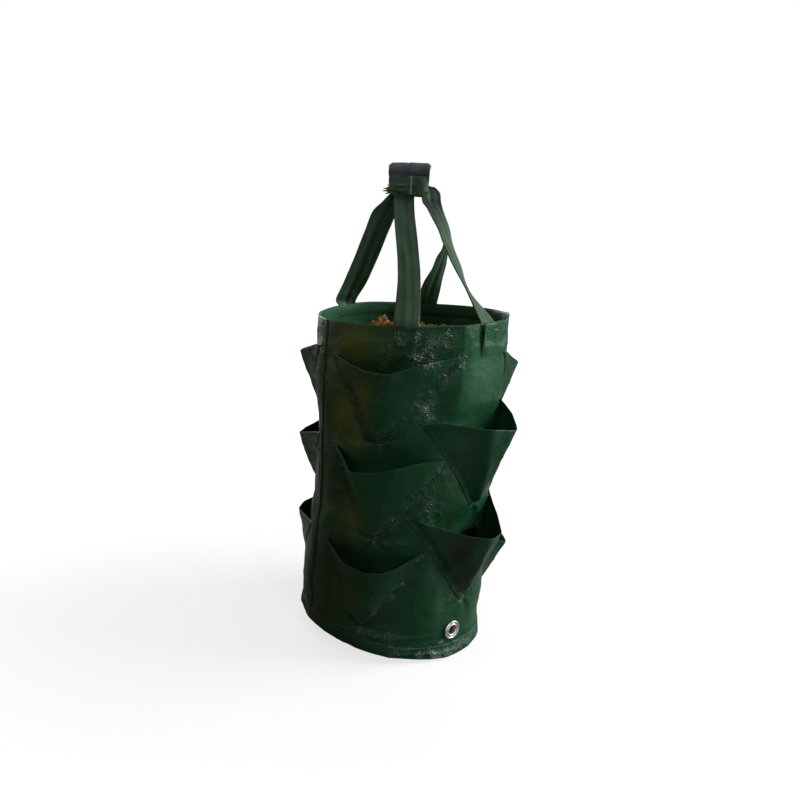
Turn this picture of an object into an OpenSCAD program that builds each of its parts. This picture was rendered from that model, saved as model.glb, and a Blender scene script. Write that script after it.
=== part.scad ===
// Hanging strawberry grow bag: a standing tube of woven sheet with V-shaped side pockets,
// two strap handles gathered into one hanging loop, drain eyelets and its growing medium.
// Origin at the centre of the base, +Z up, the front column of pockets faces -Y.
// A direction round the bag is in degrees from the front, growing towards +X.

/* [Bag] */
// Outer diameter of the bag
bag_d = 200; // [196:2:260]
// Height from the base to the rim
bag_h = 350; // [346:2:400]
// Thickness of the laminated sheet as built up in the solids
sheet_t = 1.2; // [0.8:0.1:1.6]
// Radius of the rounded edge between wall and base
bottom_round = 12; // [8:1:16]
// Gap left between two layers that are sewn together
layer_gap = 0.3; // [0.2:0.1:0.5]

/* [Rim and seams] */
// Height of the hem folded inside the rim
hem_h = 14; // [8:1:18]
// Width of the strip that closes the wall's side seam
seam_w = 12; // [8:1:14]
// Direction of the side seam
seam_az = -46; // [-47:1:-45]
// Height of the binding over the bottom seam
binding_h = 6; // [4:1:7]

/* [Pockets] */
// Width of a pocket's mouth, along the wall
pocket_w = 128; // [110:2:134]
// Height of a pocket's V, from its corners to its point
pocket_h = 88; // [76:2:90]
// How far the middle of the lip stands out from the wall
pocket_reach = 27; // [18:1:34]
// How far the lip drops from its corners to its middle
lip_drop = 12; // [4:1:18]
// Width of the flat point at the bottom of the V
point_w = 8; // [6:1:12]
// Distance from the rim down to the highest pocket corners
first_drop = 34; // [33:1:38]
// Distance from one row of a column to the next
row_pitch = 97; // [94:1:99]
// How much lower a staggered column starts
stagger = 60; // [54:1:62]
// Width of the planting slit behind each pocket
slit_w = 60; // [50:2:76]
// Height of the planting slit
slit_h = 14; // [12:1:22]
// Depth of the planting slit below the middle of the lip
slit_drop = 10; // [6:1:14]
// Depth of the hollow that the wall makes behind each mouth
hollow = 9; // [6:1:10]
// Radius of the curve of that hollow
hollow_r = 60; // [54:2:66]

/* [Drain eyelets] */
// Radius of the hole through an eyelet
eyelet_r = 5; // [4:0.5:6]
// Width of the eyelet's rolled flange
flange_w = 5; // [4:0.5:6]
// Height of an eyelet's centre above the base
eyelet_z = 31; // [29:1:34]
// Direction of the eyelet that shows at the front
eyelet_az = 56; // [54:1:58]
// Wall of the eyelet's barrel
barrel_t = 0.8; // [0.6:0.1:1]
// Thickness of the washer inside
washer_t = 0.8; // [0.6:0.1:1]

/* [Handles] */
// Width of the strap
strap_w = 24; // [20:1:26]
// Thickness of the folded strap
strap_t = 1.6; // [1.2:0.1:2]
// Length of a strap end sewn to the wall
strap_end_h = 30; // [20:1:32]
// Direction of the middle of the front handle
handle_az = 38; // [34:1:40]
// Angle between the two ends of the front handle
handle_spread = 53; // [48:1:60]
// Direction of the middle of the rear handle
rear_handle_az = 216; // [212:1:220]
// Angle between the two ends of the rear handle
rear_handle_spread = 58; // [52:1:60]
// Height of the gathered straps' underside above the rim
gather_h = 118; // [110:1:150]

/* [Hanging loop] */
// Radius of the eye that a bar or hook goes through
eye_r = 5; // [4:0.5:6]
// Thickness of the strap folded round the eye
eye_t = 2.5; // [2:0.1:3]
// Width of the two strap folds side by side
loop_w = 41; // [36:1:50]
// Gap between the two folds
fold_gap = 0.6; // [0.4:0.1:1]
// Height of the band tied round the straps
band_h = 17; // [16:1:24]
// Turn of the bar's direction away from the front
loop_turn = 15; // [0:1:30]
// Sideways place of the gathered straps, along the bar
loop_shift = -15; // [-20:1:0]
// Length of the band's frayed tail
tail_l = 7; // [4:1:10]

/* [Growing medium] */
// Depth of the medium's surface below the rim
fill_drop = 29; // [20:1:34]
// Height of the heap on that surface
heap_h = 7; // [4:1:8]
// Radius of the heap
heap_r = 54; // [46:2:70]
// Direction of the heap's middle
heap_az = 200; // [180:5:220]
// Width of the level strip between the heap and the wall
heap_clear = 4; // [4:1:10]
// Radius of the largest lumps on the surface
lump_r = 11; // [8:1:12]
// Number of lumps
lumps = 44; // [8:1:60]

/* [Hidden] */
$fn = 96;

bag_r = bag_d / 2;
inner_r = bag_r - sheet_t;
over_r = bag_r + layer_gap;
cut = 1;
hollow_facets = 40;
leaf = "#1f5c3a";
leaf_dark = "#174a2e";

// Directions of the five columns; the tall ones have three rows, the staggered ones two.
front_az = 0;
right_az = 64;
rear_right_az = 124;
back_az = 192;
left_az = 268;
tall_z = [for (row = [0:2]) bag_h - first_drop - row * row_pitch];
staggered_z = [for (row = [0:1]) bag_h - first_drop - stagger - row * row_pitch];
pockets = concat([for (az = [front_az, rear_right_az, left_az], z = tall_z) [az, z]],
    [for (az = [right_az, back_az], z = staggered_z) [az, z]]);
mouth_half = pocket_w / 2 / bag_r * 180 / PI;
point_half = point_w / 2 / bag_r * 180 / PI;
across = 10;
down = 6;

gather_z = bag_h + gather_h;
band_wall = sheet_t;
loop_depth = 2 * (eye_r + eye_t);
stem_depth = loop_depth - 4;
eye_z = gather_z + band_h + cut + eye_r + eye_t;
loop_inner = loop_w + 2 * layer_gap;
band_depth = stem_depth + 2 * (layer_gap + band_wall);
band_w = loop_inner + band_depth / 2;
eyelet_hole_r = eyelet_r + barrel_t + layer_gap;
washer_face = sqrt(inner_r * inner_r - pow(eyelet_r + flange_w, 2)) - layer_gap;
strap_r = over_r + strap_t / 2;

function around(az, r, z) = [r * sin(az), -r * cos(az), z];
function mix(a, b, s) = a + (b - a) * s;
function unit(v) = v / norm(v);
function ease(s) = s * s * (3 - 2 * s);

module turned(az, r = 0, z = 0) {
    rotate([0, 0, az]) translate([0, -r, z]) children();
}

module wall_ring(inside, outside, low, high) {
    translate([0, 0, low]) difference() {
        cylinder(r = outside, h = high - low);
        translate([0, 0, -cut]) cylinder(r = inside, h = high - low + 2 * cut);
    }
}

// Closed solid between two grids of points; both run over rows, and points in a row.
module sheet_solid(outer, inner) {
    rows = len(outer);
    cols = len(outer[0]);
    count = rows * cols;
    function at(r, c) = r * cols + c;
    points = concat([for (row = outer) each row], [for (row = inner) each row]);
    face_out = [for (r = [0:rows - 2], c = [0:cols - 2])
        each [[at(r, c), at(r, c + 1), at(r + 1, c)],
            [at(r, c + 1), at(r + 1, c + 1), at(r + 1, c)]]];
    face_in = [for (f = face_out) [f[0] + count, f[2] + count, f[1] + count]];
    top = [for (c = [0:cols - 2])
        each [[at(0, c), at(0, c) + count, at(0, c + 1)],
            [at(0, c + 1), at(0, c) + count, at(0, c + 1) + count]]];
    bottom = [for (c = [0:cols - 2])
        each [[at(rows - 1, c), at(rows - 1, c + 1), at(rows - 1, c) + count],
            [at(rows - 1, c + 1), at(rows - 1, c + 1) + count, at(rows - 1, c) + count]]];
    left = [for (r = [0:rows - 2])
        each [[at(r, 0), at(r + 1, 0), at(r, 0) + count],
            [at(r + 1, 0), at(r + 1, 0) + count, at(r, 0) + count]]];
    right = [for (r = [0:rows - 2])
        each [[at(r, cols - 1), at(r, cols - 1) + count, at(r + 1, cols - 1)],
            [at(r + 1, cols - 1), at(r, cols - 1) + count, at(r + 1, cols - 1) + count]]];
    polyhedron(points, concat(face_out, face_in, top, bottom, left, right));
}

// Outline of the bag turned about its axis: straight wall, rounded edge, flat base.
module bag_outline(r, low, round) {
    translate([0, low + round]) square([r, bag_h - low - round]);
    translate([0, low]) square([r - round, round + cut]);
    translate([r - round, low + round]) circle(r = round);
}

// Balls that press the wall in behind the pockets, each one round its planting slit.
module mouth_hollows(extra) {
    for (p = pockets)
        turned(p[0], bag_r + hollow_r - hollow, p[1] - lip_drop - slit_drop - slit_h / 2)
            sphere(r = hollow_r + extra, $fn = hollow_facets);
}

module bag_wall() {
    color(leaf) difference() {
        union() {
            rotate_extrude() intersection() {
                difference() {
                    bag_outline(bag_r, 0, bottom_round);
                    bag_outline(inner_r, sheet_t, bottom_round - sheet_t);
                    translate([-bag_r, bag_h - cut]) square([bag_r + inner_r, 2 * cut]);
                }
                translate([bag_r - bottom_round, 0]) square([bottom_round, bag_h]);
            }
            intersection() {
                translate([0, 0, bottom_round]) cylinder(r = bag_r, h = bag_h - 2 * bottom_round);
                mouth_hollows(sheet_t);
            }
        }
        mouth_hollows(0);
        for (p = pockets)
            turned(p[0], bag_r, p[1] - lip_drop - slit_drop - slit_h)
                translate([-slit_w / 2, -bag_r / 8, 0]) cube([slit_w, bag_r / 2, slit_h]);
        for (side = [0, 180])
            turned(eyelet_az + side, bag_r + cut, eyelet_z) rotate([-90, 0, 0])
                cylinder(r = eyelet_hole_r, h = sheet_t + 3 * cut);
    }
}

module base_panel() {
    color(leaf_dark) cylinder(r = bag_r - bottom_round - layer_gap, h = sheet_t);
}

module bottom_binding() {
    color(leaf_dark) wall_ring(over_r, over_r + sheet_t, bottom_round, bottom_round + binding_h);
}

module rim_hem() {
    color(leaf_dark) wall_ring(inner_r - layer_gap - sheet_t, inner_r - layer_gap, bag_h - hem_h, bag_h);
}

module side_seam() {
    low = bottom_round + binding_h + layer_gap;
    color(leaf_dark) intersection() {
        wall_ring(over_r, over_r + sheet_t, low, bag_h);
        turned(seam_az, bag_r * 1.2, low) translate([-seam_w / 2, 0, 0])
            cube([seam_w, bag_r / 2, bag_h - low]);
    }
}

// One face of a pocket: the seam runs down the wall to the point, the beak stands out
// in the middle, and each row spans from the left seam over the beak to the right seam.
function pocket_row(az, z, v, r0) = let(
    half = mix(mouth_half, point_half, v),
    reach = pocket_reach * (1 - v) * (1 - 0.25 * v),
    beak = around(az, r0 + reach, z - lip_drop - (pocket_h - lip_drop) * v),
    side_z = z - pocket_h * v)
    [for (i = [0:across]) let(
        u = 2 * i / across - 1,
        seam = around(az + sign(u) * half, r0, side_z),
        belly = sin(180 * abs(u)) * 0.12 * reach,
        flat = mix(beak, seam, abs(u)),
        out = [flat[0], flat[1], 0],
        lift = max(r0 - norm(out), 0) + belly)
        flat + unit(out) * lift];

module pocket(az, z) {
    outer = [for (j = [0:down]) pocket_row(az, z, j / down, over_r + sheet_t)];
    inner = [for (j = [0:down]) pocket_row(az, z, j / down, over_r)];
    color(leaf) sheet_solid(outer, inner);
}

module pocket_front_top() { pocket(front_az, tall_z[0]); }
module pocket_front_middle() { pocket(front_az, tall_z[1]); }
module pocket_front_bottom() { pocket(front_az, tall_z[2]); }
module pocket_right_upper() { pocket(right_az, staggered_z[0]); }
module pocket_right_lower() { pocket(right_az, staggered_z[1]); }
module pocket_rear_right_top() { pocket(rear_right_az, tall_z[0]); }
module pocket_rear_right_middle() { pocket(rear_right_az, tall_z[1]); }
module pocket_rear_right_bottom() { pocket(rear_right_az, tall_z[2]); }
module pocket_back_upper() { pocket(back_az, staggered_z[0]); }
module pocket_back_lower() { pocket(back_az, staggered_z[1]); }
module pocket_left_top() { pocket(left_az, tall_z[0]); }
module pocket_left_middle() { pocket(left_az, tall_z[1]); }
module pocket_left_bottom() { pocket(left_az, tall_z[2]); }

// Rolled flange outside, barrel through the wall and washer, flared over inside.
module drain_eyelet(az) {
    roll = 1;
    inside = bag_r - washer_face + washer_t + layer_gap;
    color("silver") turned(az, 0, eyelet_z) rotate([90, 0, 0]) translate([0, 0, over_r])
        rotate_extrude() {
            translate([eyelet_r, -inside]) square([barrel_t, inside + roll]);
            translate([eyelet_r + roll, 0]) square([flange_w - 2 * roll, 1.4 * roll]);
            translate([eyelet_r + roll, roll]) intersection() {
                circle(r = roll);
                translate([-roll, -roll]) square([2 * roll, 2 * roll]);
            }
            translate([eyelet_r + flange_w - roll, roll]) circle(r = roll);
        }
}

module drain_washer(az) {
    color("silver") turned(az, washer_face - washer_t, eyelet_z) rotate([90, 0, 0]) difference() {
        cylinder(r = eyelet_r + flange_w - cut, h = washer_t);
        translate([0, 0, -cut]) cylinder(r = eyelet_hole_r, h = washer_t + 2 * cut);
    }
}

module drain_eyelet_front() { drain_eyelet(eyelet_az); }
module drain_washer_front() { drain_washer(eyelet_az); }
module drain_eyelet_back() { drain_eyelet(eyelet_az + 180); }
module drain_washer_back() { drain_washer(eyelet_az + 180); }

// Heaped coir and bark; hollow behind each eyelet so that water can leave. Its sides follow
// the wall's hollows, and "heap_at" is the height of the heap over a point.
heap_mid = around(heap_az, inner_r - heap_clear - heap_r, 0);
function heap_at(p) = let(share = norm(p - heap_mid) / heap_r)
    heap_h * sqrt(max(1 - share * share, 0));

module growing_medium() {
    r = inner_r - layer_gap;
    low = sheet_t + layer_gap;
    top = bag_h - fill_drop;
    round = bottom_round - sheet_t;
    color("#7a4a26") difference() {
        union() {
            rotate_extrude() intersection() {
                union() {
                    translate([0, low + round]) square([r, top - low - round]);
                    translate([0, low]) square([r - round, round + cut]);
                    translate([r - round, low + round]) circle(r = round);
                }
                square([r, bag_h]);
            }
            translate(heap_mid + [0, 0, top]) scale([1, 1, heap_h / heap_r])
                sphere(r = heap_r, $fn = hollow_facets);
            for (i = [1:lumps]) {
                size = lump_r * (0.7 + 0.3 * sin(i * 77));
                place = around(i * 137.5, 0.95 * (r - lump_r) * sqrt(i / lumps), 0);
                translate(place + [0, 0, top + heap_at(place) - 0.6 * size]) sphere(r = size);
            }
        }
        mouth_hollows(sheet_t + layer_gap);
        for (side = [0, 180])
            turned(eyelet_az + side, bag_r, eyelet_z) rotate([-90, 0, 0])
                cylinder(r = eyelet_r + flange_w, h = 4 * flange_w);
    }
}

module strap_end(az) {
    color(leaf) intersection() {
        wall_ring(over_r, over_r + strap_t, bag_h - strap_end_h, bag_h);
        turned(az, bag_r * 1.2, bag_h - strap_end_h) translate([-strap_w / 2, 0, 0])
            cube([strap_w, bag_r / 2, strap_end_h]);
    }
}

front_end_az = handle_az - handle_spread / 2;
right_end_az = handle_az + handle_spread / 2;
back_end_az = rear_handle_az - rear_handle_spread / 2;
left_end_az = rear_handle_az + rear_handle_spread / 2;

module strap_end_front() { strap_end(front_end_az); }
module strap_end_right() { strap_end(right_end_az); }
module strap_end_back() { strap_end(back_end_az); }
module strap_end_left() { strap_end(left_end_az); }

// A strap leg: a ribbon from its sewn end at the rim up to the band, where "top" is its
// place along and across the bar as shares of the loop. Each mark is a share of its height,
// how far it swings out from a straight line along and across the bar as shares of that
// height, its share of the full width, and the turn of its width from the bar.
module strap_leg(az, top, marks) {
    function turned_by(a) = [cos(a + loop_turn), sin(a + loop_turn), 0];
    function on_bar(along, deep) = along * turned_by(0) + deep * turned_by(90);
    foot = around(az, strap_r, bag_h + layer_gap);
    head = on_bar(loop_shift + top[0] * loop_w, top[1] * loop_depth)
        + [0, 0, gather_z - layer_gap];
    last = len(marks) - 1;
    path = [for (m = marks) mix(foot, head, m[0]) + gather_h * on_bar(m[1], m[2])];
    function level(v, i) = (i == 0 || i == last) ? unit([v[0], v[1], 0]) : v;
    function edge(i, face) = let(
        wide = turned_by(marks[i][4]),
        step = path[min(i + 1, last)] - path[max(i - 1, 0)],
        side = level(unit(cross(wide, step)), i),
        half = wide * strap_w / 2 * marks[i][3],
        mid = path[i] + face * strap_t / 2 * side)
        [mid - half, mid + half];
    grid_out = [for (i = [last:-1:0]) edge(i, 1)];
    grid_in = [for (i = [last:-1:0]) edge(i, -1)];
    color(leaf) sheet_solid(grid_out, grid_in);
}

module strap_front() {
    strap_leg(front_end_az, [-0.134, -0.233], [[0, 0, 0, 1, -3.5],
        [0.16, 0.023, 0.010, 0.92, -4], [0.42, 0.034, 0.010, 0.83, -4],
        [0.72, 0.020, 0.004, 0.83, 0], [1, 0, 0, 0.83, 4]]);
}

module strap_right() {
    strap_leg(right_end_az, [0.488, -0.167], [[0, 0, 0, 1, 49.5],
        [0.03, -0.007, 0.001, 1, 52], [0.18, -0.040, 0.005, 1, 78],
        [0.31, -0.050, 0.008, 1, 84], [0.47, -0.039, -0.003, 0.97, 77],
        [0.64, -0.023, -0.004, 0.92, 68], [0.77, 0.006, 0.007, 0.87, 62],
        [0.93, 0.023, 0, 0.8, 44], [1, 0, 0, 0.75, 25]]);
}

module strap_back() {
    strap_leg(back_end_az, [0.561, 0.267], [[0, 0, 0, 1, -8],
        [0.07, 0.011, 0.002, 1, 8], [0.22, 0.044, 0, 1, 30],
        [0.36, 0.090, -0.009, 0.97, 48], [0.48, 0.125, -0.014, 0.94, 58],
        [0.59, 0.165, 0.001, 0.92, 68], [0.68, 0.157, 0.002, 0.88, 76],
        [0.79, 0.112, -0.002, 0.83, 72], [0.9, 0.054, -0.014, 0.75, 45], [1, 0, 0, 0.67, 10]]);
}

module strap_left() {
    strap_leg(left_end_az, [-0.244, 0.2], [[0, 0, 0, 1, 50],
        [0.03, -0.002, -0.025, 1, 26], [0.22, -0.009, -0.029, 1, 16],
        [0.46, -0.021, -0.014, 1, 12], [0.68, -0.040, -0.008, 1, 10],
        [0.85, -0.053, 0, 1, 8], [0.94, -0.022, -0.004, 0.87, 6], [1, 0, 0, 0.71, 6]]);
}

// Frame of the gathered loop: the bar's direction along X, the eye's centre on the axis.
module at_loop() {
    rotate([0, 0, loop_turn]) translate([loop_shift, 0, 0]) children();
}

// A strap folded over the bar, its two layers pressed together below the eye.
module handle_fold(side) {
    width = (loop_w - fold_gap) / 2;
    color(leaf_dark) at_loop() translate([side * (width + fold_gap) / 2 - width / 2, 0, eye_z])
        rotate([90, 0, 90]) linear_extrude(width) difference() {
            union() {
                circle(r = eye_r + eye_t);
                translate([-stem_depth / 2, gather_z + layer_gap - eye_z])
                    square([stem_depth, eye_z - gather_z - layer_gap]);
            }
            circle(r = eye_r);
        }
}

module handle_fold_front() { handle_fold(-1); }
module handle_fold_back() { handle_fold(1); }

module rounded_slab(length, depth) {
    translate([-length / 2 + depth / 2, -depth / 2]) square([length - depth, depth]);
    for (side = [-1, 1]) translate([side * (length - depth) / 2, 0]) circle(d = depth);
}

module tie_band() {
    color(leaf) at_loop() translate([0, 0, gather_z]) difference() {
        linear_extrude(band_h) rounded_slab(band_w, band_depth);
        translate([-loop_inner / 2, -stem_depth / 2 - layer_gap, -cut])
            cube([loop_inner, stem_depth + 2 * layer_gap, band_h + 2 * cut]);
    }
}

module tie_tail() {
    color(leaf_dark) at_loop() translate([-band_w / 2 - layer_gap, -sheet_t / 2, gather_z])
        rotate([90, 0, 0]) mirror([1, 0, 0]) linear_extrude(sheet_t, center = true)
            polygon([[0, band_h / 3], [tail_l, band_h / 4], [tail_l, band_h / 2], [0, 2 * band_h / 3]]);
}

bag_wall();
base_panel();
bottom_binding();
rim_hem();
side_seam();
pocket_front_top();
pocket_front_middle();
pocket_front_bottom();
pocket_right_upper();
pocket_right_lower();
pocket_rear_right_top();
pocket_rear_right_middle();
pocket_rear_right_bottom();
pocket_back_upper();
pocket_back_lower();
pocket_left_top();
pocket_left_middle();
pocket_left_bottom();
drain_eyelet_front();
drain_washer_front();
drain_eyelet_back();
drain_washer_back();
growing_medium();
strap_end_front();
strap_end_right();
strap_end_back();
strap_end_left();
strap_front();
strap_right();
strap_back();
strap_left();
handle_fold_front();
handle_fold_back();
tie_band();
tie_tail();
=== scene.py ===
import math

import bpy
import numpy as np
from mathutils import Matrix, Vector


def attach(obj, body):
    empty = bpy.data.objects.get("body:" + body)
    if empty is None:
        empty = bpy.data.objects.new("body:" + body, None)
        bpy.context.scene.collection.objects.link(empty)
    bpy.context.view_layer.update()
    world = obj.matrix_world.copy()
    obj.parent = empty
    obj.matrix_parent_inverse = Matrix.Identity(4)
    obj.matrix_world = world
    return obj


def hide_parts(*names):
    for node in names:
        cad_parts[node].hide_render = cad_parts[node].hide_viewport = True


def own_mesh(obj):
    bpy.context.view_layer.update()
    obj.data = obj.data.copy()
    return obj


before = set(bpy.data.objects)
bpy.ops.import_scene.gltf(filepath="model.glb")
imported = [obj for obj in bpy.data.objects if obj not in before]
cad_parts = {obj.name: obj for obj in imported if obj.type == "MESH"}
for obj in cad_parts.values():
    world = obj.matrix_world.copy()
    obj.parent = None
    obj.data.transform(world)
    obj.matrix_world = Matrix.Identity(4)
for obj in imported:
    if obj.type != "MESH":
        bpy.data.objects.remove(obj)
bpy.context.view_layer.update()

# Sizes are in metres and degrees. Directions are measured from the front (-Y) towards +X.
MM = 0.001

# The bag: its tube, rounded lower edge, base, rim, and where the photograph looks from.
BAG_R = 0.100
BAG_H = 0.350
GIRTH = 2 * math.pi * BAG_R
SHEET_T = 0.0005
EDGE_ROUND = 0.006
EDGE_UP = 0.0008
CORNER_LIFT = 0.0191
BASE_R = 0.0535
UNDER_R = 0.050
HEM_H = 0.014
TURNED_IN = 0.045
RIM_TILT = 0.0069
VIEW_AZ = 15
SIDE_RIDGE_AZ = 44
RIM_TIP_AZ = 105
SEAM_AZ = -46
SEAM_W = 0.012
SEAM_FOOT_Z = 0.024

# Drain eyelets, with the flat part of the wall round each and the hole in the sheet.
EYELET_AZ = (56, 236)
EYELET_Z = 0.031
EYELET_FLAT_R = 0.013
EYELET_HOLE_R = 0.0062

# Pockets: half width of a point, margin beside a seam, and the slit below a mouth.
POINT_HALF_AZ = 2.4
MARGIN = 0.006
SLIT_DROP = 0.017
SLIT_HALF_AZ = 17
SLIT_HALF_H = 0.006

# Straps, with the pitch, length and thickness of their stitches and the directions of their
# ends.
STRAP_W = 0.024
STRAP_T = 0.0013
STRAP_END_H = 0.036
STRAP_STITCH = (0.0034, 0.0025, 0.00028)
STRAP_ENDS = {"front": 11.5, "right": 64.5, "back": 187, "left": 245}

# The gathered loop: how it is turned and shifted, its eye and the band round it.
LOOP_TURN = 15
LOOP_SHIFT = -0.015
GATHER_Z = 0.468
EYE_Z = 0.4935
EYE_R = 0.005
FOLD_T = 0.0024
BAND_HALF_W = 0.0194
BAND_HALF_D = 0.0078

# Growing medium, with its heap, its main lumps and how many small ones of each kind.
FILL_Z = 0.321
FILL_R = 0.0975
FILL_SIDE_R = 0.0955
HEAP_H = 0.007
HEAP_R = 0.054
HEAP_AZ = 200
HEAP_OUT = 0.0408
LUMP_R = 0.011
LUMPS = 44
CRUMBS = 560
COARSE = 90
PILED = 150
# Small mounds of crumbs at the back, seen past the straps: direction, height, half width
# and share of the crumbs.
MOUNDS = [(220, 0.0156, 0.0052, 0.76), (188.5, 0.0128, 0.0040, 0.13), (176, 0.0115, 0.0030, 0.11)]
MOUND_OUT = 0.083


# Curves and noise, as whole arrays

def ease(s):
    """Smooth step from 0 to 1: three squares less two cubes, held flat outside."""
    s = np.clip(s, 0, 1)
    return s * s * (3 - 2 * s)


def cloud(u, v, cells_u, cells_v, seed):
    """Smooth random field in -1 to 1 over u and v in 0 to 1, repeating every turn of u.
    Random values sit on a lattice, and an eased weight blends the four round a point."""
    lattice = np.random.default_rng(seed).uniform(-1, 1, (cells_u, cells_v + 2))
    x = (u % 1) * cells_u
    y = np.clip(v, 0, 1) * cells_v
    i = np.floor(x).astype(int)
    j = np.minimum(np.floor(y).astype(int), cells_v)
    a = ease(x - i)
    b = ease(y - j)
    i0, i1 = i % cells_u, (i + 1) % cells_u
    low = lattice[i0, j] * (1 - a) + lattice[i1, j] * a
    high = lattice[i0, j + 1] * (1 - a) + lattice[i1, j + 1] * a
    return low * (1 - b) + high * b


def creases(u, v, cells_u, cells_v, seed):
    """Sharp folds where a smooth random field crosses zero: one less its size, cubed."""
    bend = 0.12 * cloud(u, v, cells_u, cells_v, seed + 50)
    field = cloud(u + bend / cells_u * 4, v + bend / cells_v * 3, cells_u, cells_v, seed)
    return (1 - np.abs(field)) ** 3


def bump_at(x, centre, width):
    """Bell curve of x round a centre."""
    return np.exp(-((x - centre) / width) ** 2)


def turn_from(az, centre):
    """Angle from a direction, in -180 to 180 degrees."""
    return (az - centre + 180) % 360 - 180


def bell(az, centre, width):
    """Bell curve of the direction round a centre."""
    return bump_at(turn_from(az, centre), 0, width)


def ridge(az, centre, width):
    """Sharp ridge over the direction: 1 at the centre, falling straight to 0 at a width."""
    return np.maximum(0, 1 - np.abs(turn_from(az, centre)) / width)


def around(az, r, z):
    """Point at a direction, a radius and a height: r sin, minus r cos, z."""
    a = np.radians(az)
    return np.stack([r * np.sin(a), -r * np.cos(a), z + 0 * a], axis=-1)


def direction_of(points):
    """Direction of points round the bag's axis."""
    return np.degrees(np.arctan2(points[..., 0], -points[..., 1]))


def unit(vectors):
    """Vectors scaled to length 1."""
    return vectors / np.linalg.norm(vectors, axis=-1, keepdims=True)


def outward_at(points):
    """Level direction away from the bag's axis."""
    return unit(points * [1, 1, 0])


def run_along(line):
    """Distance along a line of points, from 0 at its first."""
    return np.concatenate([[0], np.cumsum(np.linalg.norm(np.diff(line, axis=0), axis=1))])


def round_grid(cols, marks):
    """Two grids: directions all the way round, and marks across them."""
    return np.meshgrid(np.arange(cols) * 360 / cols, marks)


# Meshes

def new_object(name, data):
    """Object of a mesh, lamp or camera, in the scene."""
    obj = bpy.data.objects.new(name, data)
    bpy.context.scene.collection.objects.link(obj)
    return obj


def solid_mesh(name, points, faces):
    """Smooth mesh from points and faces."""
    mesh = bpy.data.meshes.new(name)
    mesh.from_pydata(points.tolist(), [], faces)
    mesh.polygons.foreach_set("use_smooth", np.ones(len(faces), dtype=bool))
    mesh.update()
    return new_object(name, mesh)


def grid_mesh(name, points, uv=None, wrap=False, keep=None, thick=0.0, offset=-1.0):
    """Mesh over a grid of points, in rows and columns. wrap joins the last column to the
    first, and keep masks the faces. Its uv map is in metres of cloth."""
    index = np.arange(points[..., 0].size).reshape(points.shape[:2])
    right = np.roll(index, -1, axis=1)
    quads = np.stack([index[:-1], index[1:], right[1:], right[:-1]], axis=-1)
    if not wrap:
        quads = quads[:, :-1]
    if keep is not None:
        quads = quads[keep]
    quads = quads.reshape(-1, 4)
    obj = solid_mesh(name, points.reshape(-1, 3), quads.tolist())
    if uv is not None:
        corners = uv.reshape(-1, 2)[quads]
        if wrap:
            across = corners[..., 0]
            half = (uv[0, -1, 0] - uv[0, 0, 0]) / 2
            over = np.ptp(across, axis=1, keepdims=True) > half
            across[over & (across < half)] += GIRTH
        layer = obj.data.uv_layers.new(name="cloth")
        layer.data.foreach_set("uv", corners.astype(np.float32).ravel())
    if thick:
        shell = obj.modifiers.new("thickness", "SOLIDIFY")
        shell.thickness = thick
        shell.offset = offset
    return obj


def tube_faces(rings, sides, first=0):
    """Faces between the rings of a tube, whose points lie ring after ring."""
    starts = [first + sides * i for i in range(rings - 1)]
    return [[a + k, a + (k + 1) % sides, a + sides + (k + 1) % sides, a + sides + k]
        for a in starts for k in range(sides)]


def end_faces(rings, sides, first=0):
    """The two flat ends of a tube."""
    last = first + sides * (rings - 1)
    return [list(range(first + sides - 1, first - 1, -1)), list(range(last, last + sides))]


def copies(name, shape, faces, centres, frames):
    """One mesh of many copies of a small shape: each is the shape turned by its frame,
    three rows of axes, and moved to its centre."""
    placed = np.einsum("pk,nkx->npx", shape, frames) + centres[:, None, :]
    count = len(shape)
    all_faces = [[v + k * count for v in face] for k in range(len(centres)) for face in faces]
    return solid_mesh(name, placed.reshape(-1, 3), all_faces)


# Materials

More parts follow.
